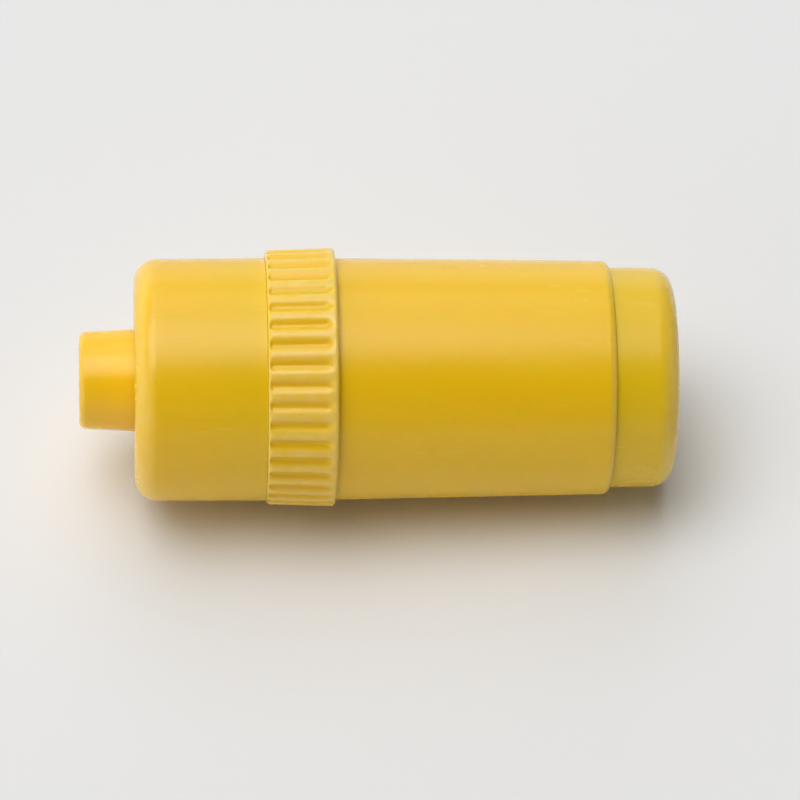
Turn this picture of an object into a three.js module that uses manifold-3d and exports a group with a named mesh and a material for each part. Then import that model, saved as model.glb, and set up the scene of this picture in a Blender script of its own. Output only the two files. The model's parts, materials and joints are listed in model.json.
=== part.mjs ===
// Push-button training clicker: a round grip with a thumb button at one end, a plug at the other,
// and between its two casings a ribbed ring that sets how loud the click is.
//
// Pressing the button drives a rod against a domed steel disc, which snaps through and clicks.
// The ring turns a windowed shutter, by three pins, over the windows of the sound chamber.
//
// Millimetres, +Z up. The grip's axis lies along X, with the button at the -X end. The origin is
// at the bottom centre of the whole object. Positions along the axis are counted from the tip of
// the button, and the group at the end of this file shifts them to the origin.

import * as THREE from 'three';
import { mergeVertices } from 'three/addons/utils/BufferGeometryUtils.js';
import Module from 'manifold-3d';

const wasm = await Module();
wasm.setup();

// ------------------------------------------------------- driving dimensions (mm and degrees)

const overallLength = 59.1;
const buttonReach = 5.5; // how far the button stands out of the casing
const ringFront = 18.5;
const ringBack = 25.6;
const barrelBack = 52.8;

const buttonTipRadius = 4.8;
const buttonRootRadius = 5.08;
const shellFrontRadius = 12.02;
const shellBackRadius = 12.09;
const ringFrontRadius = 12.66;
const ringRadius = 12.88;
const barrelFrontRadius = 12.05;
const barrelBackRadius = 11.66;
const plugRadius = 10.98;
const plugFaceRadius = 10.9;

const ribCount = 39;
const ribDepth = 0.45;
const ringPlay = 0.3; // the casings hang this far below the ring's own axis
const ringTurn = 30; // each way from the middle one of its three settings
const buttonTravel = 3;

const gap = 0.3; // between pieces that touch or fit into each other
const wall = 1.8;
const spigotRadius = 10.5; // the neck of the barrel, which carries the ring
const spigotBore = 9.3;
const spigotFront = 14.7;

const pinRadius = 0.6;
const pinAngles = [90, 210, 330]; // about the axis, from +Y towards +Z
const windowAngles = [0, 120, 240];
const windowSpan = 60;
const windowInnerRadius = 3.2;
const windowOuterRadius = 7.6;

const plungerRadius = 1.25;
const springRadius = 2.75;
const springWire = 0.25;
const springTurns = 6;

const discRadius = 8.2;
const discDomeRadius = 7.6;
const discThickness = 0.3;
const discHeight = 1.3;

const detentStation = 20;
const detentRadius = 10.35;
const detentWire = 0.3;
const detentRise = 1.15;
const detentBendWidth = 7;

const sealRadius = 9.7;
const sealWire = 0.45;

const portCount = 6;
const portRadius = 0.9;
const portCircle = 5;

const filletSteps = 3;
const casingSides = 36;
const innerSides = 28;

// ------------------------------------------------------------------------- derived positions

const bodyHeight = ringRadius - ringPlay; // of the casings' axis above the ground
const shellInside = buttonReach + wall;
const bridgeFront = spigotFront - 1.5;
const flangeFront = shellInside + 0.9;
const flangeBack = bridgeFront - buttonTravel - 0.9;
const buttonBore = 3.4;
const buttonCrown = 1.8; // thickness of the button's closed end
const chamberWallFront = ringBack - 0.6;
const chamberWallBack = chamberWallFront + 1.2;
const shutterBack = chamberWallFront - gap;
const shutterFront = shutterBack - 2.4;
const shutterBore = 1.8;
const pinStation = (shutterFront + shutterBack) / 2;
const seatBack = shutterFront - 0.6;
const seatFront = seatBack - 2.1;
const discRimFront = seatFront - gap - discThickness;
const discTop = discRimFront - discHeight;
const ringBore = spigotRadius + 0.65;
const plugFront = barrelBack - 5;
const plugSpigot = 9.95;
const barrelBore = plugSpigot + gap;
const sealStation = barrelBack - 2.6;

// --------------------------------------------------------------------------- shape functions

const radians = THREE.MathUtils.degToRad;
const smoothstep = THREE.MathUtils.smoothstep;

// Outline of a turned piece. A corner is [position along the axis, radius, fillet], and a fillet
// becomes an arc that meets both neighbouring edges. Outer sides run towards +X, inner ones
// towards -X. An outline that doesn't start on the axis closes on itself.
function outline(corners) {
  const corner = (i) => new THREE.Vector2(...corners.at(i % corners.length));
  const points = [];
  for (let i = 0; i < corners.length; i += 1) {
    const fillet = corners[i][2] ?? 0;
    if (fillet === 0) {
      points.push(corner(i));
      continue;
    }
    const back = corner(i - 1).sub(corner(i)).normalize();
    const ahead = corner(i + 1).sub(corner(i)).normalize();
    const halfAngle = Math.acos(back.dot(ahead)) / 2;
    const inward = back.clone().add(ahead).normalize();
    const centre = corner(i).addScaledVector(inward, fillet / Math.sin(halfAngle));
    const reach = fillet / Math.tan(halfAngle);
    const from = corner(i).addScaledVector(back, reach).sub(centre);
    const to = corner(i).addScaledVector(ahead, reach).sub(centre);
    for (let step = 0; step <= filletSteps; step += 1) {
      const spoke = from.clone().lerp(to, step / filletSteps).setLength(fillet);
      points.push(spoke.add(centre));
    }
  }
  if (corners[0][1] > 0) {
    points.push(points[0].clone());
  }
  return points;
}

// Solid of revolution about the X axis.
function turned(corners, sides) {
  const profile = outline(corners).map((point) => new THREE.Vector2(point.y, point.x));
  return new THREE.LatheGeometry(profile, sides).rotateZ(-Math.PI / 2);
}

function rod(radius, from, to, sides = 16) {
  return turned([[from, 0], [from, radius], [to, radius], [to, 0]], sides);
}

// A rod that points away from the axis, at an angle about it.
function spoke(radius, from, to, angle, station) {
  return rod(radius, from, to).rotateZ(Math.PI / 2).rotateX(radians(angle)).translate(station, 0, 0);
}

// Part of a thick tube about the axis, between two angles.
function sector(innerRadius, outerRadius, angle, span, from, to) {
  const first = radians(angle - span / 2);
  const last = radians(angle + span / 2);
  const shape = new THREE.Shape();
  shape.absarc(0, 0, outerRadius, first, last, false);
  shape.absarc(0, 0, innerRadius, last, first, true);
  const options = { depth: to - from, bevelEnabled: false, curveSegments: 4 };
  const block = new THREE.ExtrudeGeometry(shape, options);
  return block.rotateY(Math.PI / 2).rotateX(Math.PI / 2).translate(from, 0, 0);
}

// A wire that winds about the axis: place(t) gives [position along the axis, radius, angle].
class Winding extends THREE.Curve {
  constructor(place) {
    super();
    this.place = place;
  }

  getPoint(t, target = new THREE.Vector3()) {
    const [station, radius, angle] = this.place(t);
    const turn = radians(angle);
    return target.set(station, radius * Math.cos(turn), radius * Math.sin(turn));
  }
}

function wire(radius, steps, place) {
  const section = new THREE.Shape().absarc(0, 0, radius, 0, 2 * Math.PI, false);
  const options = { steps, curveSegments: 3, extrudePath: new Winding(place), bevelEnabled: false };
  return new THREE.ExtrudeGeometry(section, options);
}

// ---------------------------------------------------------------------------- cutting solids

function toSolid(geometry) {
  const bare = geometry.clone();
  bare.deleteAttribute('normal');
  bare.deleteAttribute('uv');
  const merged = mergeVertices(bare, 1e-4);
  const index = merged.index.array;
  const triangles = [];
  for (let i = 0; i < index.length; i += 3) {
    const [a, b, c] = index.slice(i, i + 3);
    if (a !== b && b !== c && c !== a) {
      triangles.push(a, b, c);
    }
  }
  return new wasm.Manifold(new wasm.Mesh({
    numProp: 3,
    vertProperties: new Float32Array(merged.attributes.position.array),
    triVerts: new Uint32Array(triangles),
  }));
}

function toGeometry(solid) {
  const mesh = solid.getMesh();
  const geometry = new THREE.BufferGeometry();
  geometry.setAttribute('position', new THREE.BufferAttribute(mesh.vertProperties, 3));
  geometry.setIndex(new THREE.BufferAttribute(mesh.triVerts, 1));
  geometry.computeVertexNormals();
  return geometry;
}

function cut(geometry, cutters) {
  let solid = toSolid(geometry);
  for (const cutter of cutters) {
    solid = solid.subtract(toSolid(cutter));
  }
  return toGeometry(solid);
}

// ---------------------------------------------------------------------------------- casings

function frontShell() {
  const bore = buttonRootRadius + gap;
  const cavity = 9.2;
  const cavityBack = bridgeFront - gap;
  const socket = spigotRadius + 0.25;
  const socketEnd = ringFront - 0.2;
  const grooveFront = 15.7;
  const grooveBack = 17.5;
  return turned([
    [buttonReach, bore, 0.2],
    [buttonReach, shellFrontRadius, 1.8],
    [socketEnd, shellBackRadius, 0.3],
    [socketEnd, socket],
    [grooveBack, socket],
    [grooveBack, socket + 0.5],
    [grooveFront, socket + 0.5],
    [grooveFront, socket],
    [cavityBack, socket],
    [cavityBack, cavity],
    [shellInside, cavity, 0.8],
    [shellInside, bore],
  ], casingSides);
}

function barrel() {
  const pivotFront = shutterFront + gap;
  const pivotRadius = shutterBore - gap;
  const shutterBayRadius = spigotBore - 0.4;
  const shutterBayFront = shutterFront - gap;
  const bead = spigotRadius + 0.45;
  const grooveFloor = detentRadius - detentWire - 0.2;
  const shoulder = ringBack + 0.25;
  const body = turned([
    [pivotFront, 0],
    [pivotFront, pivotRadius],
    [chamberWallFront, pivotRadius],
    [chamberWallFront, shutterBayRadius],
    [shutterBayFront, shutterBayRadius],
    [shutterBayFront, spigotBore],
    [spigotFront, spigotBore],
    [spigotFront, spigotRadius, 0.3],
    [16, spigotRadius],
    [16.4, bead],
    [16.8, bead],
    [17.2, spigotRadius],
    [detentStation - 0.6, spigotRadius],
    [detentStation - 0.6, grooveFloor],
    [detentStation + 0.6, grooveFloor],
    [detentStation + 0.6, spigotRadius],
    [shoulder, spigotRadius],
    [shoulder, barrelFrontRadius, 0.3],
    [barrelBack, barrelBackRadius, 0.5],
    [barrelBack, barrelBore, 0.2],
    [chamberWallBack, barrelBore, 0.8],
    [chamberWallBack, 0],
  ], casingSides);
  const windows = windowAngles.map((angle) => sector(
    windowInnerRadius,
    windowOuterRadius,
    angle,
    windowSpan,
    chamberWallFront - 1,
    chamberWallBack + 1,
  ));
  const clearance = pinRadius + gap;
  const slotSpan = 2 * (ringTurn + THREE.MathUtils.radToDeg(clearance / shutterBayRadius));
  const slots = pinAngles.map((angle) => sector(
    shutterBayRadius - 1,
    spigotRadius + 1,
    angle,
    slotSpan,
    pinStation - clearance,
    pinStation + clearance,
  ));
  return cut(body, [...windows, ...slots]);
}

function endPlug() {
  const inside = 8.2;
  const shoulder = barrelBack + 0.2;
  const floor = overallLength - wall;
  const body = turned([
    [floor, 0],
    [floor, inside, 1],
    [plugFront, inside],
    [plugFront, plugSpigot, 0.3],
    [sealStation - sealWire - 0.2, plugSpigot],
    [sealStation - sealWire - 0.2, sealRadius - sealWire - 0.1],
    [sealStation + sealWire + 0.2, sealRadius - sealWire - 0.1],
    [sealStation + sealWire + 0.2, plugSpigot],
    [shoulder, plugSpigot],
    [shoulder, plugRadius - 0.35],
    [shoulder + 0.45, plugRadius, 0.2],
    [overallLength, plugFaceRadius, 2.05],
    [overallLength, 0],
  ], casingSides);
  const ports = [];
  for (let i = 0; i < portCount; i += 1) {
    const turn = (2 * Math.PI * i) / portCount;
    const port = rod(portRadius, floor - 1, overallLength + 1, 12);
    ports.push(port.translate(0, portCircle * Math.cos(turn), portCircle * Math.sin(turn)));
  }
  return cut(body, ports);
}

function plugORing() {
  const ring = new THREE.TorusGeometry(sealRadius, sealWire, 6, innerSides);
  return ring.rotateY(Math.PI / 2).translate(sealStation, 0, 0);
}

// ----------------------------------------------------------------------------------- button

function pushButton() {
  const skirtFront = buttonCrown + 0.2;
  const bossRadius = 2.1;
  const bossBack = 5;
  const flangeRadius = 6.9;
  return turned([
    [0, 0],
    [0, buttonTipRadius, 0.7],
    [buttonReach, buttonRootRadius],
    [flangeFront, buttonRootRadius],
    [flangeFront, flangeRadius, 0.3],
    [flangeBack, flangeRadius],
    [flangeBack, buttonBore],
    [skirtFront, buttonBore],
    [skirtFront, bossRadius],
    [bossBack, bossRadius],
    [bossBack, plungerRadius + 0.25],
    [buttonCrown, plungerRadius + 0.25],
    [buttonCrown, 0],
  ], innerSides);
}

function plungerPin() {
  const front = buttonCrown + gap;
  const back = discTop - gap;
  return turned([
    [front, 0],
    [front, plungerRadius, 0.2],
    [back, plungerRadius, 0.6],
    [back, 0],
  ], 20);
}

function returnSpring() {
  const front = buttonCrown + 0.2 + springWire + 0.2;
  const back = bridgeFront - springWire - 0.2;
  return wire(springWire, springTurns * 11, (t) => [
    THREE.MathUtils.lerp(front, back, t),
    springRadius,
    360 * springTurns * t,
  ]);
}

function buttonBumper() {
  const front = shellInside + 0.15;
  const back = flangeFront - 0.15;
  return turned([
    [front, buttonRootRadius + gap],
    [front, 6.8],
    [back, 6.8],
    [back, buttonRootRadius + gap],
  ], innerSides);
}

// ------------------------------------------------------------------------------- snap disc

function guideBridge() {
  const bore = plungerRadius + gap;
  const plateRadius = spigotRadius - 0.2;
  const plateBack = bridgeFront + 1.2;
  const skirtRadius = spigotBore - 0.25;
  const skirtBack = seatFront - 0.25;
  const skirtStep = discRimFront - gap;
  const skirtInside = discDomeRadius;
  const webBack = plateBack + 0.3;
  const bossRadius = 2.8;
  const bossBack = webBack + 1.2;
  return turned([
    [bridgeFront, bore],
    [bridgeFront, plateRadius],
    [plateBack, plateRadius],
    [plateBack, skirtRadius],
    [skirtBack, skirtRadius],
    [skirtBack, discRadius + gap],
    [skirtStep, discRadius + gap],
    [skirtStep, skirtInside],
    [webBack, skirtInside],
    [webBack, bossRadius],
    [bossBack, bossRadius],
    [bossBack, bore],
  ], innerSides);
}

function clickDisc() {
  const steps = 5;
  const front = [];
  for (let i = 0; i <= steps; i += 1) {
    const share = i / steps;
    const rise = (discHeight * (1 + Math.cos(Math.PI * share))) / 2;
    front.push([discRimFront - rise, discDomeRadius * share]);
  }
  front.push([discRimFront, discRadius]);
  const back = front.map(([station, radius]) => [station + discThickness, radius]).reverse();
  return turned([...front, ...back], innerSides);
}

function discSeat() {
  const inside = discDomeRadius - 0.6;
  const outside = spigotBore - 0.25;
  return turned([
    [seatFront, inside],
    [seatFront, outside],
    [seatBack, outside],
    [seatBack, inside],
  ], innerSides);
}

// ---------------------------------------------------------------------------- volume control

function volumeRing() {
  const ribsFront = ringFront + 1.4;
  const ribsBack = ringBack - 0.8;
  const taper = (ribsFront - ringFront) / (ribsBack - ringFront);
  const blank = turned([
    [ringFront, 0],
    [ringFront, ringFrontRadius, 0.75],
    [ribsFront, THREE.MathUtils.lerp(ringFrontRadius, ringRadius, taper)],
    [ribsBack, ringRadius],
    [ringBack, ringRadius, 0.25],
    [ringBack, 0],
  ], ribCount * 4);
  const position = blank.attributes.position;
  for (let i = 0; i < position.count; i += 1) {
    const station = position.getX(i);
    const angle = Math.atan2(position.getZ(i), position.getY(i));
    const inFront = smoothstep(station, ringFront + 0.7, ribsFront);
    const atBack = 1 - smoothstep(station, ribsBack, ringBack - 0.3);
    const fromBottom = angle + Math.PI / 2;
    const groove = ribDepth * inFront * atBack * (1 - Math.cos(ribCount * fromBottom)) / 2;
    const radius = Math.hypot(position.getY(i), position.getZ(i)) - groove;
    if (radius > ringBore) {
      position.setY(i, radius * Math.cos(angle));
      position.setZ(i, radius * Math.sin(angle));
    }
  }
  const bore = rod(ringBore, ringFront - 1, ringBack + 1, casingSides);
  const keyways = pinAngles.map((angle) => {
    const block = new THREE.BoxGeometry(ringBack - pinStation + 2.2, 2.4, 2.4);
    block.translate((ringBack + pinStation) / 2, 0, ringBore - 0.4);
    return block.rotateX(radians(angle - 90));
  });
  const notches = [-ringTurn, 0, ringTurn].map((angle) => {
    const notch = rod(1.6, detentStation - 0.7, detentStation + 0.7);
    return notch.translate(0, 0, ringBore - 1.1).rotateX(radians(angle));
  });
  return cut(blank, [bore, ...keyways, ...notches]);
}

function shutterDisc() {
  const rim = spigotBore - 0.7;
  const body = turned([
    [shutterFront, shutterBore],
    [shutterFront, rim],
    [shutterBack, rim],
    [shutterBack, shutterBore],
  ], casingSides);
  const windows = windowAngles.map((angle) => sector(
    windowInnerRadius,
    windowOuterRadius,
    angle - ringTurn,
    windowSpan,
    shutterFront - 1,
    shutterBack + 1,
  ));
  const pinHoles = pinAngles.map((angle) => spoke(pinRadius + 0.2, 6.6, rim + 1, angle, pinStation));
  return cut(body, [...windows, ...pinHoles]);
}

function drivePin() {
  return rod(pinRadius, 6.9, ringBore + 0.35, 12);
}

function detentSpring() {
  const reach = 120;
  return wire(detentWire, 60, (t) => {
    const fromTop = THREE.MathUtils.lerp(-reach, reach, t);
    const bend = detentRise * Math.exp(-((fromTop / detentBendWidth) ** 2));
    return [detentStation, detentRadius + bend, 90 + fromTop];
  });
}

// ------------------------------------------------------------------------------- the object

function material(color, roughness, metalness = 0) {
  return new THREE.MeshStandardMaterial({ color, roughness, metalness });
}

const yellow = () => material(0xe6b622, 0.35);
const ivory = () => material(0xe9e4d6, 0.5);
const steel = () => material(0xb9bcc0, 0.3, 1);

function piece(name, geometry, finish) {
  const mesh = new THREE.Mesh(geometry, finish);
  mesh.name = name;
  return mesh;
}

const clicker = new THREE.Group();
clicker.position.set(-overallLength / 2, 0, bodyHeight);
clicker.add(
  piece('push_button', pushButton(), yellow()),
  piece('plunger_pin', plungerPin(), steel()),
  piece('return_spring', returnSpring(), steel()),
  piece('button_bumper', buttonBumper(), material(0x2b2b2d, 0.8)),
  piece('front_shell', frontShell(), yellow()),
  piece('guide_bridge', guideBridge(), ivory()),
  piece('click_disc', clickDisc(), steel()),
  piece('disc_seat', discSeat(), ivory()),
  piece('shutter_disc', shutterDisc(), material(0x3a3c40, 0.5)),
  piece('detent_spring', detentSpring(), steel()),
  piece('barrel', barrel(), yellow()),
  piece('end_plug', endPlug(), material(0xdcb02c, 0.4)),
  piece('plug_o_ring', plugORing(), material(0x2b2b2d, 0.8)),
);

const ring = piece('volume_ring', volumeRing(), yellow());
ring.position.z = ringPlay;
clicker.add(ring);

pinAngles.forEach((angle, i) => {
  const pin = piece(`drive_pin_${i + 1}`, drivePin(), steel());
  pin.position.x = pinStation;
  pin.rotation.set(radians(angle), 0, Math.PI / 2);
  clicker.add(pin);
});

const model = new THREE.Group();
model.add(clicker);

export default model;
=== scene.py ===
import json
import math

import bpy
import numpy as np
from mathutils import Matrix, Vector


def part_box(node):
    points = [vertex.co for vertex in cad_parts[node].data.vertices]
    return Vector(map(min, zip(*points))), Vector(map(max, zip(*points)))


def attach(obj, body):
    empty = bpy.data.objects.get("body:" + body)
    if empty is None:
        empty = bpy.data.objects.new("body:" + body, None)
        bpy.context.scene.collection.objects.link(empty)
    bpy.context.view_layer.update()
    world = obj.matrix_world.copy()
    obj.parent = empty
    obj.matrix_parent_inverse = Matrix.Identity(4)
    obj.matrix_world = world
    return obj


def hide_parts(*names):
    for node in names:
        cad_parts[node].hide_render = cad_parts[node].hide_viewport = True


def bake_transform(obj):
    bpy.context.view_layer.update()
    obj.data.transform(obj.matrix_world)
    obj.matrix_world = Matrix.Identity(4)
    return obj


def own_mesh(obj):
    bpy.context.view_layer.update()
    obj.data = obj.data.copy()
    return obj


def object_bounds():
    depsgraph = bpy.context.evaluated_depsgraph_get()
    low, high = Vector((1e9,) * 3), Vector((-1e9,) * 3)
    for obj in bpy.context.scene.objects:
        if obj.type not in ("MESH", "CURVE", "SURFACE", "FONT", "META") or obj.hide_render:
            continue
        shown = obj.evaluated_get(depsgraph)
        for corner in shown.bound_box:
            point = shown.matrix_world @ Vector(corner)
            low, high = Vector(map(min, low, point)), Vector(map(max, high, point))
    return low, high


# A push-button training clicker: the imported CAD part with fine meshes, moulded plastic and metal
# materials, a pale floor and soft studio light.
# Shapes are drawn in millimetres round the grip's axis. A station is a distance along the axis
# from the tip of the button, as in the CAD part. stand_for() turns both into the frame's metres.

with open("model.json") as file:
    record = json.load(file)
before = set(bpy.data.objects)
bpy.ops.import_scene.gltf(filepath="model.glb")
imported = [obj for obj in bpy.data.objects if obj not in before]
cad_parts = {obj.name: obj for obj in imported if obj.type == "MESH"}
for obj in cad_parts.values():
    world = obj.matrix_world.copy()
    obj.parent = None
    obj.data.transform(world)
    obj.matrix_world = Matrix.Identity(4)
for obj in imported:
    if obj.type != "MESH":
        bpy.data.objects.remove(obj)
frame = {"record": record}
cad_low, cad_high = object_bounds()

MM = 0.001
TIP = cad_low.x
NODE_BODY = {n: b for b, nodes in frame["record"]["behaviour"]["bodies"].items() for n in nodes}


def middle_height(node):
    low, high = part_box(node)
    return (low.z + high.z) / 2


def span(node):
    """Front station, back station and radius of a round CAD node, in millimetres."""
    low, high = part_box(node)
    return (low.x - TIP) / MM, (high.x - TIP) / MM, (high.y - low.y) / 2 / MM


AXIS_HEIGHT = middle_height("barrel")
RING_HEIGHT = middle_height("volume_ring")

# ------------------------------------------------------------------------- stations and sizes

_, button_back, flange_radius = span("push_button")
shell_front, _, shell_radius = span("front_shell")
ring_front, ring_back, ring_radius = span("volume_ring")
barrel_front, barrel_back, barrel_radius = span("barrel")
plug_front, plug_back, plug_radius = span("end_plug")
bridge_front, bridge_back, bridge_radius = span("guide_bridge")
disc_top, disc_back, disc_radius = span("click_disc")
seat_front, seat_back, seat_radius = span("disc_seat")
shutter_front, shutter_back, shutter_radius = span("shutter_disc")
rod_front, rod_back, rod_radius = span("plunger_pin")
seal_front, seal_back, seal_radius = span("plug_o_ring")
bumper_front, bumper_back, bumper_radius = span("button_bumper")
pin_front, pin_back, _ = span("drive_pin_1")

# Pieces keep GAP between them inside. The outer casings meet at hairline seams.
GAP = 0.3
SEAM = 0.005

BUTTON_RADIUS = 5.08
BUTTON_TIP_RADIUS = 4.8
SHELL_FRONT_RADIUS = 12.02
BARREL_END_RADIUS = 11.66
PLUG_END_RADIUS = 10.9
PLUG_NECK_RADIUS = 9.95
PLUG_WALL = 1.8
PORTS = 6
PORT_RADIUS = 0.8
PORT_CIRCLE = 5

RING_BACK = ring_back - 0.2
RING_FRONT_RADIUS = 12.66
RIBS = 39
RIB_DEPTH = 0.36
SETTING_ANGLE = 30
PIN_ANGLES = (90, 210, 330)
WINDOW_ANGLES = (0, 120, 240)
WINDOW_SPAN = 60
WINDOW_RADII = (3.2, 7.6)
SPIGOT_RADIUS = 10.5
SPIGOT_BORE = 9.3
RING_BORE = SPIGOT_RADIUS + 0.65
BARREL_BORE = 10.25
DETENT_STATION = 20
DETENT_RADIUS = 10.35
pin_radius = (pin_back - pin_front) / 2
pin_station = (pin_front + pin_back) / 2
chamber_wall = shutter_back + GAP


# ------------------------------------------------------------------------------- mesh building

def outline(corners, steps):
    """Rows of (station, radius, edge) along an outline whose corners are (station, radius, fillet).
    edge says how worn a point is: most in the middle of a fillet and 0 elsewhere."""
    rows = []
    points = [Vector(c[:2]) for c in corners]
    for i, corner in enumerate(corners):
        fillet = corner[2] if len(corner) > 2 else 0
        if not fillet:
            rows.append((*points[i], 0.0))
            continue
        back = (points[i - 1] - points[i]).normalized()
        ahead = (points[(i + 1) % len(points)] - points[i]).normalized()
        half = math.acos(back.dot(ahead)) / 2
        centre = points[i] + (back + ahead).normalized() * fillet / math.sin(half)
        reach = fillet / math.tan(half)
        first = points[i] + back * reach - centre
        last = points[i] + ahead * reach - centre
        for k in range(steps + 1):
            spoke = first.lerp(last, k / steps).normalized() * fillet
            rows.append((*(centre + spoke), 0.6 * math.sin(math.pi * k / steps)))
    return rows


def new_object(name, points, faces, edges=None):
    mesh = bpy.data.meshes.new(name)
    mesh.from_pydata([tuple(p) for p in points], [], faces)
    mesh.validate()
    attribute = mesh.attributes.new("edge", "FLOAT", "POINT")
    if edges is not None:
        attribute.data.foreach_set("value", np.asarray(edges, np.float32))
    obj = bpy.data.objects.new(name, mesh)
    bpy.context.scene.collection.objects.link(obj)
    return obj


def revolve(name, rows, around, closed, relief=None):
    """Turns rows about the X axis. relief(station, angle, radius, edge) may change a point's
    radius and edge."""
    angles = np.arange(around) * 2 * math.pi / around
    points, edges, loops, faces = [], [], [], []
    for station, radius, edge in rows:
        first = len(points)
        if radius < 1e-6:
            loops.append([first] * around)
            points.append((station, 0, 0))
            edges.append(edge)
            continue
        loops.append(range(first, first + around))
        for angle in angles:
            r, wear_and_sheen = relief(station, angle, radius, edge) if relief else (radius, edge)
            points.append((station, r * math.cos(angle), r * math.sin(angle)))
            edges.append(wear_and_sheen)
    nexts = loops[1:] + ([loops[0]] if closed else [])
    for here, there in zip(loops, nexts):
        for k in range(around):
            n = (k + 1) % around
            face = (here[k], here[n], there[n], there[k])
            faces.append(tuple(dict.fromkeys(face)))
    return new_object(name, points, faces, edges)


def turned(name, corners, around, steps):
    """A round piece, or a ring where the outline stays off the axis."""
    return revolve(name, outline(corners, steps), around, corners[0][1] > 0)


def tube(name, centres, radius, sides):
    """A round wire with closed ends through a list of points."""
    centres = np.asarray(centres, float)
    tangents = np.gradient(centres, axis=0)
    tangents /= np.linalg.norm(tangents, axis=1)[:, None]
    points, faces = [], []
    outward = np.array([0.0, centres[0][1], centres[0][2]])
    for centre, tangent in zip(centres, tangents):
        outward = outward - tangent * outward.dot(tangent)
        outward /= np.linalg.norm(outward)
        side = np.cross(tangent, outward)
        for k in range(sides):
            turn = 2 * math.pi * k / sides
            points.append(centre + radius * (math.cos(turn) * outward + math.sin(turn) * side))
    for i in range(len(centres) - 1):
        for k in range(sides):
            n = (k + 1) % sides
            a, b = i * sides, (i + 1) * sides
            faces.append((a + k, a + n, b + n, b + k))
    faces.append(tuple(range(sides))[::-1])
    faces.append(tuple(range(len(points) - sides, len(points))))
    return new_object(name, points, faces)


def rod(name, radius, front, back, around=48, flare=0.0):
    """A plain rod along X. With flare, its back end widens in a curve and then runs on for
    1 mm, so that as a cutter it leaves a rounded mouth."""
    rows = [(front, 0, 0), (front, radius, 0)]
    end = back
    if flare:
        end = back + 1
        for k in range(9):
            turn = math.pi / 2 * k / 8
            widening = flare * (1 - math.cos(turn))
            rows.append((back - flare + flare * math.sin(turn), radius + widening, 0))
    rows += [(end, radius + flare, 0), (end, 0, 0)]
    return revolve(name, rows, around, False)


def sector(name, inner, outer, angle, width, front, back, around=24):
    """Part of a thick tube about the axis, between two angles in degrees."""
    turns = np.radians(np.linspace(angle - width / 2, angle + width / 2, around + 1))
    section = [(front, inner), (front, outer), (back, outer), (back, inner)]
    points = [(s, r * math.cos(t), r * math.sin(t)) for t in turns for s, r in section]
    faces = [(0, 1, 2, 3), tuple(4 * around + i for i in range(4))[::-1]]
    for i in range(around):
        for k in range(4):
            a, b = 4 * i, 4 * (i + 1)
            n = (k + 1) % 4
            faces.append((a + k, a + n, b + n, b + k)[::-1])
    return new_object(name, points, faces)


def moved(obj, matrix):
    obj.data.transform(matrix)
    return obj


def turned_to(obj, angle):
    """Turns a shape about the X axis, from +Y towards +Z."""
    return moved(obj, Matrix.Rotation(math.radians(angle), 4, "X"))


def cut(obj, cutters):
    """Cuts shapes out of a mesh for good."""
    for cutter in cutters:
        modifier = obj.modifiers.new("cut", "BOOLEAN")
        modifier.operation = "DIFFERENCE"
        modifier.solver = "EXACT"
        modifier.object = cutter
    bpy.context.view_layer.update()
    done = bpy.data.meshes.new_from_object(obj.evaluated_get(bpy.context.evaluated_depsgraph_get()))
    obj.modifiers.clear()
    obj.data = done
    for cutter in cutters:
        bpy.data.objects.remove(cutter)
    return obj


def stand_for(obj, node, material, height=None, sharp=35):
    """Puts a finished shape in the frame in place of a CAD node, on that node's body."""
    height = AXIS_HEIGHT if height is None else height
    moved(obj, Matrix.Translation((TIP, 0, height)) @ Matrix.Scale(MM, 4))
    obj.data.shade_smooth()
    obj.data.set_sharp_from_angle(angle=math.radians(sharp))
    weighted = obj.modifiers.new("even shading", "WEIGHTED_NORMAL")
    weighted.keep_sharp = True
    obj.data.materials.clear()
    obj.data.materials.append(material)
    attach(obj, NODE_BODY[node])
    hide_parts(node)
    return obj


# ----------------------------------------------------------------------------------- materials

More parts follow.
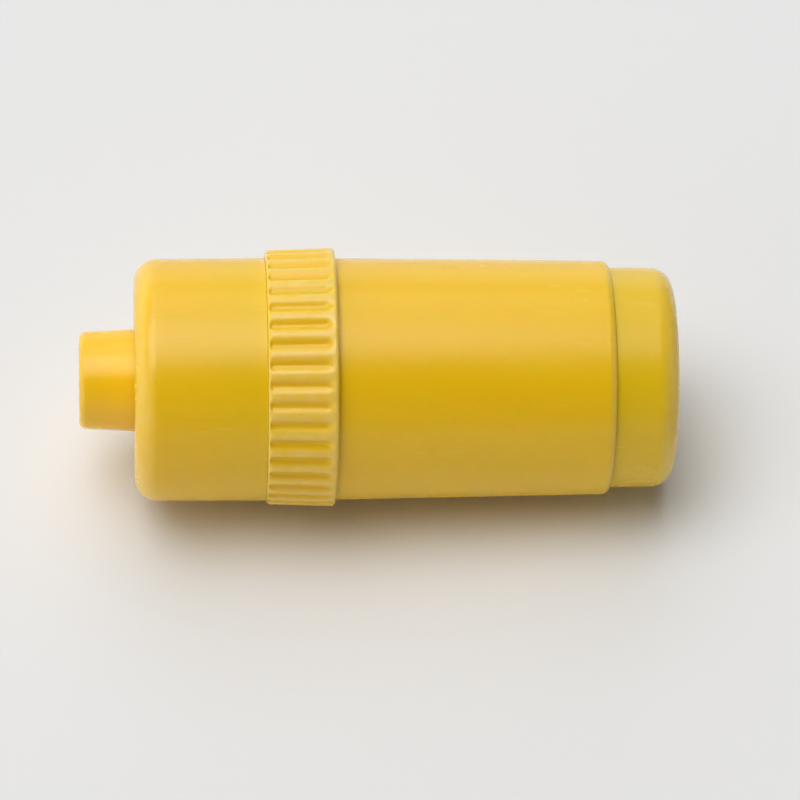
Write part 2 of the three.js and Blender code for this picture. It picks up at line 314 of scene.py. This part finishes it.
class Nodes:
    """Short calls for building a material's nodes."""

    def __init__(self, name):
        self.material = bpy.data.materials.new(name)
        self.material.use_nodes = True
        self.tree = self.material.node_tree
        self.shader = self.tree.nodes["Principled BSDF"]
        self.place = self.add("ShaderNodeTexCoord").outputs["Object"]

    def add(self, kind, **settings):
        node = self.tree.nodes.new(kind)
        for key, value in settings.items():
            setattr(node, key, value)
        return node

    def link(self, source, target):
        self.tree.links.new(source, target)

    def noise(self, scale, detail, roughness=0.5, stretch=None):
        """Noise with features of about 1/scale metres, drawn out along X by stretch."""
        node = self.add("ShaderNodeTexNoise")
        node.inputs["Scale"].default_value = scale
        node.inputs["Detail"].default_value = detail
        node.inputs["Roughness"].default_value = roughness
        source = self.place
        if stretch:
            mapping = self.add("ShaderNodeMapping")
            mapping.inputs["Scale"].default_value = stretch
            self.link(source, mapping.inputs["Vector"])
            source = mapping.outputs["Vector"]
        self.link(source, node.inputs["Vector"])
        return node.outputs["Fac"]

    def spread(self, source, low, high, at=(0.0, 1.0)):
        """source between the two values of at, as a number from low to high."""
        node = self.add("ShaderNodeMapRange")
        node.inputs["From Min"].default_value = at[0]
        node.inputs["From Max"].default_value = at[1]
        node.inputs["To Min"].default_value = low
        node.inputs["To Max"].default_value = high
        self.link(source, node.inputs["Value"])
        return node.outputs["Result"]

    def math(self, operation, a, b):
        node = self.add("ShaderNodeMath", operation=operation)
        for socket, value in zip(node.inputs, (a, b)):
            if isinstance(value, (int, float)):
                socket.default_value = value
            else:
                self.link(value, socket)
        return node.outputs["Value"]

    def mix(self, share, a, b):
        """A colour between a and b. Each may be a colour or a socket."""
        node = self.add("ShaderNodeMix", data_type="RGBA")
        self.link(share, node.inputs["Factor"])
        for socket, value in ((node.inputs[6], a), (node.inputs[7], b)):
            if isinstance(value, tuple):
                socket.default_value = (*value, 1)
            else:
                self.link(value, socket)
        return node.outputs[2]

    def attribute(self, name):
        return self.add("ShaderNodeAttribute", attribute_name=name).outputs["Fac"]

    def bump(self, height, distance, below=None):
        """The normal over a surface that height raises by up to distance, in metres."""
        node = self.add("ShaderNodeBump")
        node.inputs["Strength"].default_value = 1.0
        node.inputs["Distance"].default_value = distance
        self.link(height, node.inputs["Height"])
        if below:
            self.link(below, node.inputs["Normal"])
        return node.outputs["Normal"]


def moulded(name, deep, pale, roughness, glow=0.45):
    """Injection-moulded plastic: faint flow marks, a fine spark-eroded grain, hairline scratches,
    and a little polish and paler colour on worn edges, which on the ring's rib crests is a painted
    sheen."""
    n = Nodes(name)
    shader = n.shader
    flow = n.noise(90, 3, 0.55, stretch=(0.35, 1, 1))
    grain = n.noise(5200, 2, 0.6)
    ripple = n.noise(420, 2, 0.5)
    scratch = n.noise(900, 2, 0.7, stretch=(0.12, 1, 1))
    wear_and_sheen = n.math("MULTIPLY", n.attribute("edge"), n.spread(n.noise(700, 3), 0.5, 1.0, (0.35, 0.7)))
    colour = n.mix(n.spread(flow, 0, 1, (0.3, 0.7)), deep, pale)
    lighter = tuple(c + (1 - c) * 0.12 for c in pale)
    # Paler colour on worn edges; on the ring's rib crests it is a painted sheen.
    colour = n.mix(wear_and_sheen, colour, lighter)
    n.link(colour, shader.inputs["Base Color"])
    hairline = n.spread(scratch, 0, 1, (0.66, 0.72))
    rough = n.spread(flow, roughness - 0.03, roughness + 0.03, (0.3, 0.7))
    rough = n.math("ADD", rough, n.math("MULTIPLY", hairline, 0.10))
    rough = n.math("SUBTRACT", rough, n.math("MULTIPLY", wear_and_sheen, 0.05))
    n.link(rough, shader.inputs["Roughness"])
    fine = n.bump(grain, 0.000004)
    wavy = n.bump(ripple, 0.000010, below=fine)
    n.link(n.bump(hairline, 0.000003, below=wavy), shader.inputs["Normal"])
    shader.inputs["IOR"].default_value = 1.46
    shader.inputs["Subsurface Weight"].default_value = glow
    shader.inputs["Subsurface Radius"].default_value = (1.0, 0.45, 0.08)
    shader.inputs["Subsurface Scale"].default_value = 0.0016
    return n.material


def metal(name, colour, roughness, lay):
    """Steel with drawing or rolling lines along its length, faint stains and dulled patches."""
    n = Nodes(name)
    shader = n.shader
    lines = n.noise(2600, 2, 0.6, stretch=lay)
    stain = n.noise(260, 3, 0.6)
    darker = tuple(c * 0.72 for c in colour)
    colour_out = n.mix(n.spread(stain, 0, 1, (0.45, 0.8)), colour, darker)
    n.link(colour_out, shader.inputs["Base Color"])
    rough = n.spread(lines, roughness - 0.08, roughness + 0.10, (0.3, 0.7))
    rough = n.math("ADD", rough, n.spread(stain, 0.0, 0.12, (0.5, 0.8)))
    n.link(rough, shader.inputs["Roughness"])
    n.link(n.bump(lines, 0.000004), shader.inputs["Normal"])
    shader.inputs["Metallic"].default_value = 1.0
    return n.material


def rubber(name, colour):
    """Soft black rubber with a matt bloom and fine dimples."""
    n = Nodes(name)
    shader = n.shader
    bloom = n.noise(800, 3, 0.6)
    dimples = n.noise(6000, 2, 0.5)
    greyer = tuple(c * 1.8 + 0.01 for c in colour)
    n.link(n.mix(n.spread(bloom, 0, 1, (0.4, 0.8)), colour, greyer), shader.inputs["Base Color"])
    n.link(n.spread(bloom, 0.62, 0.82, (0.3, 0.7)), shader.inputs["Roughness"])
    n.link(n.bump(dimples, 0.000008), shader.inputs["Normal"])
    return n.material


def floor_material():
    """Plain pale table top with a very faint tooth."""
    n = Nodes("pale_table")
    shader = n.shader
    cloud = n.noise(9, 3, 0.5)
    tooth = n.noise(1800, 2, 0.5)
    n.link(n.mix(cloud, (0.80, 0.80, 0.80), (0.82, 0.82, 0.82)), shader.inputs["Base Color"])
    n.link(n.spread(cloud, 0.55, 0.65), shader.inputs["Roughness"])
    n.link(n.bump(tooth, 0.00001), shader.inputs["Normal"])
    shader.inputs["Specular IOR Level"].default_value = 0.3
    return n.material


YELLOW = moulded("yellow_plastic", (0.92, 0.545, 0.006), (0.94, 0.58, 0.008), 0.25)
PLUG_YELLOW = moulded("plug_plastic", (0.83, 0.54, 0.008), (0.85, 0.57, 0.010), 0.26)
IVORY = moulded("ivory_acetal", (0.72, 0.69, 0.60), (0.78, 0.75, 0.67), 0.48, glow=0.15)
GREY = moulded("grey_acetal", (0.050, 0.053, 0.058), (0.070, 0.073, 0.078), 0.46, glow=0.0)
SHEET_STEEL = metal("rolled_steel", (0.58, 0.58, 0.56), 0.30, (1, 0.15, 1))
WIRE_STEEL = metal("drawn_wire", (0.52, 0.52, 0.53), 0.34, (0.3, 1, 1))
PIN_STEEL = metal("ground_steel", (0.62, 0.62, 0.63), 0.22, (1, 0.4, 0.4))
RUBBER = rubber("black_rubber", (0.018, 0.018, 0.019))


# ------------------------------------------------------------------------------ visible casings

def front_casing():
    bore = BUTTON_RADIUS + GAP
    socket = SPIGOT_RADIUS + 0.25
    face_back = shell_front + 1.8
    corners = [
        (shell_front, bore, 0.2),
        (shell_front, SHELL_FRONT_RADIUS, 2.2),
        (ring_front - SEAM, shell_radius, 0.05),
        (ring_front - SEAM, socket, 0.1),
        (17.5, socket),
        (17.5, socket + 0.5, 0.1),
        (15.7, socket + 0.5, 0.1),
        (15.7, socket),
        (bridge_front - GAP, socket, 0.1),
        (bridge_front - GAP, 9.2, 0.1),
        (face_back, 9.2, 0.8),
        (face_back, bore, 0.15),
    ]
    return turned("front_casing", corners, around=224, steps=10)


def barrel_casing():
    step = shutter_front - GAP
    bay = SPIGOT_BORE - 0.4
    shoulder = RING_BACK + SEAM
    wall_back = chamber_wall + 1.2
    groove = 9.85
    body = turned("barrel_casing", [
        (shutter_front + GAP, 0),
        (shutter_front + GAP, 1.5, 0.2),
        (chamber_wall, 1.5, 0.2),
        (chamber_wall, bay),
        (step, bay, 0.1),
        (step, SPIGOT_BORE),
        (barrel_front, SPIGOT_BORE, 0.15),
        (barrel_front, SPIGOT_RADIUS, 0.3),
        (16.0, SPIGOT_RADIUS),
        (16.4, SPIGOT_RADIUS + 0.45, 0.15),
        (16.8, SPIGOT_RADIUS + 0.45, 0.15),
        (17.2, SPIGOT_RADIUS),
        (DETENT_STATION - 0.6, SPIGOT_RADIUS),
        (DETENT_STATION - 0.6, groove, 0.1),
        (DETENT_STATION + 0.6, groove, 0.1),
        (DETENT_STATION + 0.6, SPIGOT_RADIUS),
        (shoulder, SPIGOT_RADIUS, 0.2),
        (shoulder, barrel_radius, 0.02),
        (barrel_back, BARREL_END_RADIUS, 0.72),
        (barrel_back, BARREL_BORE, 0.2),
        (wall_back, BARREL_BORE, 0.8),
        (wall_back, 0),
    ], around=224, steps=8)
    windows = [
        sector("cutter", *WINDOW_RADII, angle, WINDOW_SPAN, chamber_wall - 1, wall_back + 1)
        for angle in WINDOW_ANGLES
    ]
    clearance = pin_radius + GAP
    width = 2 * (SETTING_ANGLE + math.degrees(clearance / bay))
    slots = [
        sector("cutter", bay - 1, SPIGOT_RADIUS + 1, angle, width,
               pin_station - clearance, pin_station + clearance)
        for angle in PIN_ANGLES
    ]
    return cut(body, windows + slots)


def rear_plug():
    back = plug_back - SEAM
    shoulder = barrel_back + SEAM
    floor = plug_back - PLUG_WALL
    hollow = 8.2
    seal = (seal_front + seal_back) / 2
    wire = (seal_back - seal_front) / 2
    groove = seal_radius - 2 * wire - 0.1
    body = turned("rear_plug", [
        (floor, 0),
        (floor, hollow, 1),
        (plug_front, hollow, 0.2),
        (plug_front, PLUG_NECK_RADIUS, 0.3),
        (seal - wire - 0.2, PLUG_NECK_RADIUS),
        (seal - wire - 0.2, groove, 0.1),
        (seal + wire + 0.2, groove, 0.1),
        (seal + wire + 0.2, PLUG_NECK_RADIUS),
        (shoulder, PLUG_NECK_RADIUS),
        (shoulder, plug_radius, 0.02),
        (back, PLUG_END_RADIUS, 2.05),
        (back, 0),
    ], around=224, steps=14)
    ports = []
    for number in range(PORTS):
        port = rod("cutter", PORT_RADIUS, floor - 1, plug_back, flare=0.12)
        moved(port, Matrix.Translation((0, PORT_CIRCLE, 0)))
        ports.append(turned_to(port, number * 360 / PORTS))
    return cut(body, ports)


def smoothstep(low, high, value):
    share = min(max((value - low) / (high - low), 0.0), 1.0)
    return share * share * (3 - 2 * share)


def ribbed_ring():
    """A ring whose grooves run out through its rounded front edge and fade before its back edge."""
    ribs_back = RING_BACK - 0.2
    crest_back = RING_BACK - 0.8
    nose_fillet = 0.5
    rim = 0.35
    chamfer = 0.15
    outside = RING_BORE + 0.5

    def crest(station):
        share = min(1.0, (station - ring_front) / (crest_back - ring_front))
        return RING_FRONT_RADIUS + (ring_radius - RING_FRONT_RADIUS) * share

    def relief(station, angle, radius, edge):
        """Lowers a point into the groove it is in, and marks the ribs between for the paler colour:
        wear and a painted sheen on the crests.
        """
        if radius < outside:
            return radius, edge
        ends = smoothstep(ring_front, ring_front + 0.4, station)
        ends *= 1 - smoothstep(ribs_back - 1.1, ribs_back, station)
        valley = ends * (0.5 - 0.5 * math.cos(RIBS * (angle + math.pi / 2))) ** 1.5
        floor = crest(station) - RIB_DEPTH * valley
        # The ribs between the grooves get the paler colour: wear and a painted sheen on the crests.
        return min(radius, floor), max(0.0, 1 - 1.6 * valley)

    mouth = [(ring_front + chamfer, RING_BORE), (ring_front, RING_BORE + chamfer)]
    nose = [
        (ring_front, RING_BORE),
        (ring_front, RING_FRONT_RADIUS, nose_fillet),
        (RING_BACK, ring_radius),
    ]
    rows = outline(mouth, 1) + outline(nose, 8)[1:-1]
    for station in np.linspace(rows[-1][0], RING_BACK - rim, 44)[1:]:
        rows.append((float(station), crest(station), 0.0))
    for k in range(1, 9):
        turn = math.pi / 2 * k / 8
        drop = rim * (1 - math.cos(turn))
        rows.append((RING_BACK - rim + rim * math.sin(turn), ring_radius - drop, 1.0))
    rows += [(RING_BACK, RING_BORE + chamfer, 0.0), (RING_BACK - chamfer, RING_BORE, 0.0)]
    ring = revolve("ribbed_ring", rows, RIBS * 16, True, relief)
    keyways = [
        sector("cutter", RING_BORE - 1, RING_BORE + 0.8, angle, 12.4, pin_station - 1.1, RING_BACK + 1)
        for angle in PIN_ANGLES
    ]
    notches = []
    for angle in (-SETTING_ANGLE, 0, SETTING_ANGLE):
        notch = rod("cutter", 1.6, DETENT_STATION - 0.7, DETENT_STATION + 0.7)
        moved(notch, Matrix.Translation((0, RING_BORE - 1.1, 0)))
        notches.append(turned_to(notch, 90 + angle))
    return cut(ring, keyways + notches)


def thumb_button():
    """A cap with a flange that keeps it in the casing, a spring pocket and a boss for the rod."""
    flange_front = bumper_back + 0.15
    pocket = 3.4
    boss = 2.1
    boss_bore = rod_radius + 0.25
    return turned("thumb_button", [
        (0, 0),
        (0, BUTTON_TIP_RADIUS, 0.7),
        (shell_front, BUTTON_RADIUS),
        (flange_front, BUTTON_RADIUS, 0.15),
        (flange_front, flange_radius, 0.25),
        (button_back, flange_radius, 0.2),
        (button_back, pocket, 0.15),
        (2.0, pocket, 0.3),
        (2.0, boss, 0.2),
        (5.0, boss, 0.15),
        (5.0, boss_bore, 0.1),
        (1.8, boss_bore),
        (1.8, 0),
    ], around=160, steps=10)


# -------------------------------------------------------------------------------- inner pieces

def push_rod():
    return turned("push_rod", [
        (rod_front, 0),
        (rod_front, rod_radius, 0.2),
        (rod_back, rod_radius, 0.6),
        (rod_back, 0),
    ], around=64, steps=10)


def coil_spring():
    """Six open turns, with three quarters of a turn at each end closed up to sit flat."""
    front, back, outer = span("return_spring")
    wire = 0.25
    turns = 7.5
    closed_turns = 0.75
    share = np.linspace(0, 1, 420)
    closed = closed_turns / turns
    travel = np.clip((share - closed) / (1 - 2 * closed), 0, 1)
    eased = travel * travel * (3 - 2 * travel) * 0.25 + travel * 0.75
    lead = 2 * wire * closed_turns
    stations = front + wire + lead * np.minimum(share / closed, 1)
    stations += lead * np.clip((share - 1 + closed) / closed, 0, 1)
    stations += (back - front - 2 * wire - 2 * lead) * eased
    angle = 2 * math.pi * turns * share
    radius = outer - wire
    centres = np.stack([stations, radius * np.cos(angle), radius * np.sin(angle)], 1)
    return tube("coil_spring", centres, wire, 10)


def bumper_washer():
    bore = BUTTON_RADIUS + GAP
    return turned("bumper_washer", [
        (bumper_front, bore, 0.2),
        (bumper_front, bumper_radius, 0.25),
        (bumper_back, bumper_radius, 0.25),
        (bumper_back, bore, 0.2),
    ], around=96, steps=5)


def guide_plate():
    bore = rod_radius + GAP
    skirt = SPIGOT_BORE - 0.25
    plate_back = bridge_front + 1.2
    ledge = disc_back - 0.6
    hollow = 7.6
    collar = 2.8
    return turned("guide_plate", [
        (bridge_front, bore, 0.2),
        (bridge_front, bridge_radius, 0.15),
        (plate_back, bridge_radius, 0.15),
        (plate_back, skirt, 0.1),
        (bridge_back, skirt, 0.15),
        (bridge_back, disc_radius + GAP, 0.1),
        (ledge, disc_radius + GAP),
        (ledge, hollow, 0.1),
        (plate_back + 0.3, hollow, 0.5),
        (plate_back + 0.3, collar, 0.4),
        (plate_back + 1.5, collar, 0.2),
        (plate_back + 1.5, bore, 0.15),
    ], around=128, steps=5)


def snap_disc():
    """A thin domed sheet with a bead near its rim; in the real clicker it snaps through when pressed.
    """
    thick = 0.24
    dome = 7.6
    margin = 0.03
    rim = disc_back - thick / 2 - margin
    height = rim - thick / 2 - disc_top - margin
    rows = []
    for radius in np.concatenate([np.linspace(0, dome, 30), [7.8, disc_radius - 0.02]]):
        share = min(radius / dome, 1.0)
        bead = 0.08 * math.exp(-(((radius - 6.7) / 0.28) ** 2))
        rows.append((rim - height * (1 + math.cos(math.pi * share)) / 2 + bead, float(radius), 0.0))
    disc = revolve("snap_disc", rows, 96, False)
    moved(disc, Matrix.Translation((TIP, 0, AXIS_HEIGHT)) @ Matrix.Scale(MM, 4))
    disc.data.shade_smooth()
    solid = disc.modifiers.new("sheet", "SOLIDIFY")
    solid.thickness = thick * MM
    solid.offset = 0.0
    disc.data.materials.append(SHEET_STEEL)
    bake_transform(disc)
    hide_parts("click_disc")
    return disc


def disc_rest():
    inside = 7.0
    return turned("disc_rest", [
        (seat_front, inside, 0.3),
        (seat_front, seat_radius, 0.2),
        (seat_back, seat_radius, 0.2),
        (seat_back, inside, 0.3),
    ], around=128, steps=5)


def shutter_wheel():
    bore = 1.8
    body = turned("shutter_wheel", [
        (shutter_front, bore, 0.2),
        (shutter_front, shutter_radius, 0.2),
        (shutter_back, shutter_radius, 0.2),
        (shutter_back, bore, 0.2),
    ], around=144, steps=5)
    front, back = shutter_front - 1, shutter_back + 1
    cutters = [
        sector("cutter", *WINDOW_RADII, angle - SETTING_ANGLE, WINDOW_SPAN, front, back)
        for angle in WINDOW_ANGLES
    ]
    for angle in PIN_ANGLES:
        hole = rod("cutter", pin_radius + 0.15, 6.6, shutter_radius + 1, around=36)
        moved(hole, Matrix.Rotation(math.pi / 2, 4, "Z"))
        turned_to(hole, angle)
        cutters.append(moved(hole, Matrix.Translation((pin_station, 0, 0))))
    return cut(body, cutters)


def radial_pin(number, angle):
    foot, head = 6.9, RING_BORE + 0.35
    pin = turned(f"radial_pin_{number}", [
        (foot, 0),
        (foot, pin_radius, 0.12),
        (head, pin_radius, 0.2),
        (head, 0),
    ], around=40, steps=5)
    moved(pin, Matrix.Rotation(math.pi / 2, 4, "Z"))
    return moved(turned_to(pin, angle), Matrix.Translation((pin_station, 0, 0)))


def detent_wire():
    """An open ring of spring wire whose top bends out into one of the ring's notches."""
    wire = 0.29
    bend_height, bend_angle = 1.15, 7
    from_top = np.linspace(-120, 120, 300)
    radius = DETENT_RADIUS + bend_height * np.exp(-((from_top / bend_angle) ** 2))
    angle = np.radians(90 + from_top)
    stations = np.full_like(angle, DETENT_STATION)
    centres = np.stack([stations, radius * np.cos(angle), radius * np.sin(angle)], 1)
    return tube("detent_wire", centres, wire, 12)


def seal_ring():
    wire = (seal_back - seal_front) / 2
    middle = (seal_front + seal_back) / 2
    sides = 20
    rows = []
    for k in range(sides):
        turn = 2 * math.pi * k / sides
        radius = seal_radius - wire + wire * math.sin(turn)
        rows.append((middle - wire * math.cos(turn), radius, 0.0))
    return revolve("seal_ring", rows, 128, True)


stand_for(thumb_button(), "push_button", YELLOW)
stand_for(front_casing(), "front_shell", YELLOW)
stand_for(ribbed_ring(), "volume_ring", YELLOW, RING_HEIGHT, sharp=50)
stand_for(barrel_casing(), "barrel", YELLOW)
stand_for(rear_plug(), "end_plug", PLUG_YELLOW)
stand_for(push_rod(), "plunger_pin", PIN_STEEL)
stand_for(bumper_washer(), "button_bumper", RUBBER)
stand_for(guide_plate(), "guide_bridge", IVORY)
stand_for(disc_rest(), "disc_seat", IVORY)
stand_for(shutter_wheel(), "shutter_disc", GREY)
stand_for(detent_wire(), "detent_spring", WIRE_STEEL)
stand_for(seal_ring(), "plug_o_ring", RUBBER)
for count, pin_angle in enumerate(PIN_ANGLES, 1):
    stand_for(radial_pin(count, pin_angle), f"drive_pin_{count}", PIN_STEEL)
snap_disc()

spring = stand_for(coil_spring(), "return_spring", WIRE_STEEL)
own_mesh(spring)


# ------------------------------------------------------------------------- floor, light, camera

def add_floor():
    """The clicker lies on its ring and on the barrel's far rim, so the table leans to touch both."""
    rim = Vector((TIP + (barrel_back - 0.4) * MM, 0, AXIS_HEIGHT - BARREL_END_RADIUS * MM))
    ring = Vector((TIP + RING_BACK * MM, 0, RING_HEIGHT - ring_radius * MM))
    lean = math.atan2(rim.z - ring.z, rim.x - ring.x)
    half = 2.5
    corners = [(-half, -half, 0), (half, -half, 0), (half, half, 0), (-half, half, 0)]
    floor = new_object("table", corners, [(0, 1, 2, 3)])
    floor.data.materials.append(floor_material())
    floor.matrix_world = Matrix.Translation(ring) @ Matrix.Rotation(-lean, 4, "Y")


def add_softbox(name, direction, distance, width, depth, brightness):
    """A rectangular light that faces the clicker. width runs along X."""
    light = bpy.data.lights.new(name, "AREA")
    light.shape = "RECTANGLE"
    light.size = width
    light.size_y = depth
    light.energy = math.pi * width * depth * brightness
    lamp = bpy.data.objects.new(name, light)
    bpy.context.scene.collection.objects.link(lamp)
    direction = Vector(direction).normalized()
    across = Vector((1, 0, 0))
    across = (across - direction * across.dot(direction)).normalized()
    turn = Matrix((across, direction.cross(across), direction)).transposed().to_4x4()
    lamp.matrix_world = Matrix.Translation(direction * distance + Vector((0, 0, AXIS_HEIGHT))) @ turn


def towards(elevation, azimuth):
    """A direction. The azimuth is 0 in front of the clicker, towards -Y, and 90 towards +X."""
    up, round_ = math.radians(elevation), math.radians(azimuth)
    return Vector((math.cos(up) * math.sin(round_), -math.cos(up) * math.cos(round_), math.sin(up)))


def add_dome(patches, core=10, edge=32):
    """White light from soft round patches of the sky: (elevation, azimuth, brightness)."""
    world = bpy.data.worlds.new("studio_dome")
    world.use_nodes = True
    tree = world.node_tree
    background = tree.nodes["Background"]
    background.inputs["Color"].default_value = (1.0, 1.0, 1.0, 1)
    place = tree.nodes.new("ShaderNodeTexCoord").outputs["Generated"]
    total = None
    for elevation, azimuth, brightness in patches:
        nearness = tree.nodes.new("ShaderNodeVectorMath")
        nearness.operation = "DOT_PRODUCT"
        nearness.inputs[1].default_value = towards(elevation, azimuth)
        tree.links.new(place, nearness.inputs[0])
        patch = tree.nodes.new("ShaderNodeMapRange")
        patch.interpolation_type = "SMOOTHSTEP"
        patch.inputs["From Min"].default_value = math.cos(math.radians(edge))
        patch.inputs["From Max"].default_value = math.cos(math.radians(core))
        patch.inputs["To Max"].default_value = brightness
        tree.links.new(nearness.outputs["Value"], patch.inputs["Value"])
        result = patch.outputs["Result"]
        if total:
            both = tree.nodes.new("ShaderNodeMath")
            tree.links.new(total, both.inputs[0])
            tree.links.new(result, both.inputs[1])
            result = both.outputs["Value"]
        total = result
    tree.links.new(total, background.inputs["Strength"])
    bpy.context.scene.world = world


def add_camera():
    elevation = math.radians(48)
    swing = math.radians(3.07)
    axis_slope = math.radians(0.33)
    distance = 0.55
    frame_width = 0.07988
    aim_station = 32.0
    aim_drop = 2.13 * MM
    back = Vector((
        -math.sin(swing),
        -math.cos(swing) * math.cos(elevation),
        math.cos(swing) * math.sin(elevation),
    ))
    grip = Vector((1, 0, 0))
    along = (grip - back * grip.dot(back)).normalized()
    above = back.cross(along)
    right = along * math.cos(axis_slope) - above * math.sin(axis_slope)
    up = back.cross(right)
    data = bpy.data.cameras.new("camera")
    data.sensor_width = 36
    data.lens = data.sensor_width * distance / frame_width
    data.clip_start = 0.01
    data.clip_end = 20
    camera = bpy.data.objects.new("camera", data)
    bpy.context.scene.collection.objects.link(camera)
    aim = Vector((TIP + aim_station * MM, 0, AXIS_HEIGHT)) - up * aim_drop
    turn = Matrix((right, up, back)).transposed().to_4x4()
    camera.matrix_world = Matrix.Translation(aim + back * distance) @ turn
    bpy.context.scene.camera = camera


add_floor()
add_dome([
    (75, 290, 1.5),
    (68, 290, 2.2),
    (60, 180, 0.9),
    (30, 180, 0.3),
    (5, 0, 0.2),
    (15, 90, 0.6),
    (5, 180, 0.9),
    (5, 225, 1.0),
    (5, 270, 1.5),
    (5, 315, 1.05),
])
add_softbox("overhead_softbox", (-0.14, 0.33, 0.945), 0.42, 0.27, 0.48, 0.75)
add_camera()
bpy.context.scene.view_settings.view_transform = "Standard"
